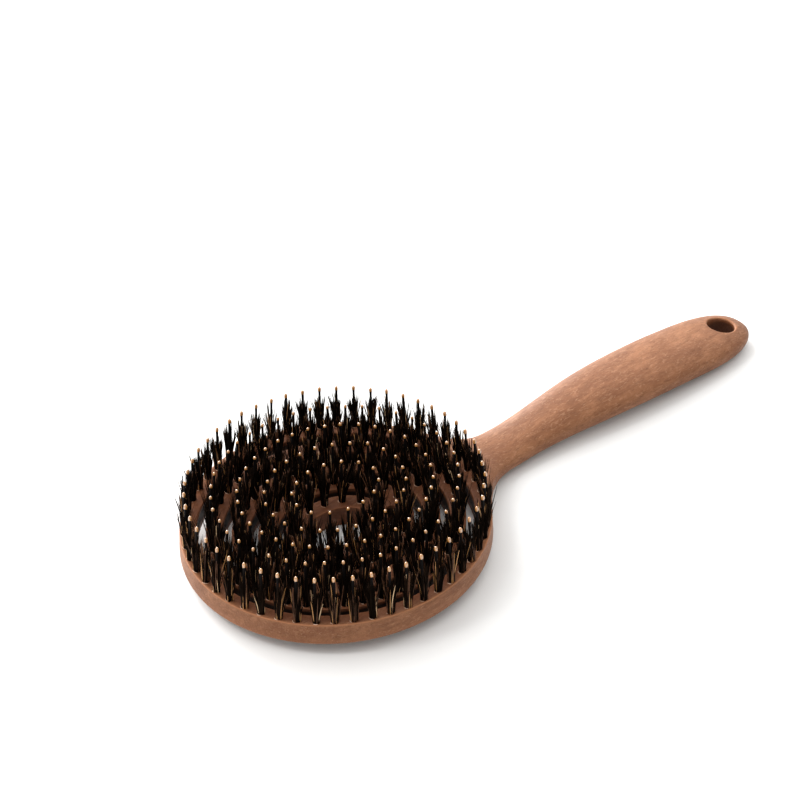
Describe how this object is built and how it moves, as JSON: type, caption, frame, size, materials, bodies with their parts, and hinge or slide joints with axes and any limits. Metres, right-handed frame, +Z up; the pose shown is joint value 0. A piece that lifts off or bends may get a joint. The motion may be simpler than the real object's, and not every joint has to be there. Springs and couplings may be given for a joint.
{
  "type": "vented hairbrush",
  "caption": "Vented hairbrush: oval head of concentric flexing rings with boar and nylon pin tufts, on a flat handle with a hanging hole.",
  "frame": {"origin": "mid-length and mid-width of the brush, on the surface it rests on", "axes": "+Z up, the way the bristles point; +X along the handle towards its free end; Y across the head"},
  "size_m": [0.2322, 0.0962, 0.0286],
  "materials": {
    "composite": "satin, pinkish-brown wood-fibre composite with fine flecks",
    "bristle": "dark boar bristle with black nylon pins and tan ball ends"
  },
  "bodies": {
    "handle": {"handle_and_rim": "composite", "rim_tufts_01": "bristle", "rim_tufts_02": "bristle", "rim_tufts_03": "bristle", "rim_tufts_04": "bristle", "rim_tufts_05": "bristle", "rim_tufts_06": "bristle", "rim_tufts_07": "bristle", "rim_tufts_08": "bristle", "rim_tufts_09": "bristle", "rim_tufts_10": "bristle", "rim_tufts_11": "bristle", "rim_tufts_12": "bristle", "rim_tufts_13": "bristle", "rim_tufts_14": "bristle", "rim_tufts_15": "bristle", "rim_tufts_16": "bristle", "rim_tufts_17": "bristle"},
    "second_ring": {"ring_2": "composite", "ring_2_tufts_01": "bristle", "ring_2_tufts_02": "bristle", "ring_2_tufts_03": "bristle", "ring_2_tufts_04": "bristle", "ring_2_tufts_05": "bristle", "ring_2_tufts_06": "bristle", "ring_2_tufts_07": "bristle", "ring_2_tufts_08": "bristle", "ring_2_tufts_09": "bristle", "ring_2_tufts_10": "bristle", "ring_2_tufts_11": "bristle", "ring_2_tufts_12": "bristle", "ring_2_tufts_13": "bristle", "ring_2_tufts_14": "bristle"},
    "third_ring": {"ring_3": "composite", "ring_3_tufts_01": "bristle", "ring_3_tufts_02": "bristle", "ring_3_tufts_03": "bristle", "ring_3_tufts_04": "bristle", "ring_3_tufts_05": "bristle", "ring_3_tufts_06": "bristle", "ring_3_tufts_07": "bristle", "ring_3_tufts_08": "bristle", "ring_3_tufts_09": "bristle", "ring_3_tufts_10": "bristle", "ring_3_tufts_11": "bristle"},
    "fourth_ring": {"ring_4": "composite", "ring_4_tufts_01": "bristle", "ring_4_tufts_02": "bristle", "ring_4_tufts_03": "bristle", "ring_4_tufts_04": "bristle", "ring_4_tufts_05": "bristle", "ring_4_tufts_06": "bristle", "ring_4_tufts_07": "bristle", "ring_4_tufts_08": "bristle"},
    "hub": {"hub_ring": "composite", "hub_tufts_01": "bristle", "hub_tufts_02": "bristle", "hub_tufts_03": "bristle", "hub_tufts_04": "bristle", "hub_tufts_05": "bristle"}
  },
  "joints": [
    {"name": "second_ring_flex", "type": "hinge", "parent": "handle", "child": "second_ring", "pos_m": [-0.1092, 0, 0.00685], "axis": [0, 1, 0], "range_deg": [-2.5, 2.5], "stiffness_Nm_per_rad": 4},
    {"name": "third_ring_flex", "type": "hinge", "parent": "second_ring", "child": "third_ring", "pos_m": [-0.0304, 0, 0.00582], "axis": [0, 1, 0], "range_deg": [-2.5, 2.5], "stiffness_Nm_per_rad": 4},
    {"name": "fourth_ring_flex", "type": "hinge", "parent": "third_ring", "child": "fourth_ring", "pos_m": [-0.09315, 0, 0.00498], "axis": [0, 1, 0], "range_deg": [-2.5, 2.5], "stiffness_Nm_per_rad": 4},
    {"name": "hub_flex", "type": "hinge", "parent": "fourth_ring", "child": "hub", "pos_m": [-0.04695, 0, 0.00434], "axis": [0, 1, 0], "range_deg": [-2.5, 2.5], "stiffness_Nm_per_rad": 4}
  ]
}
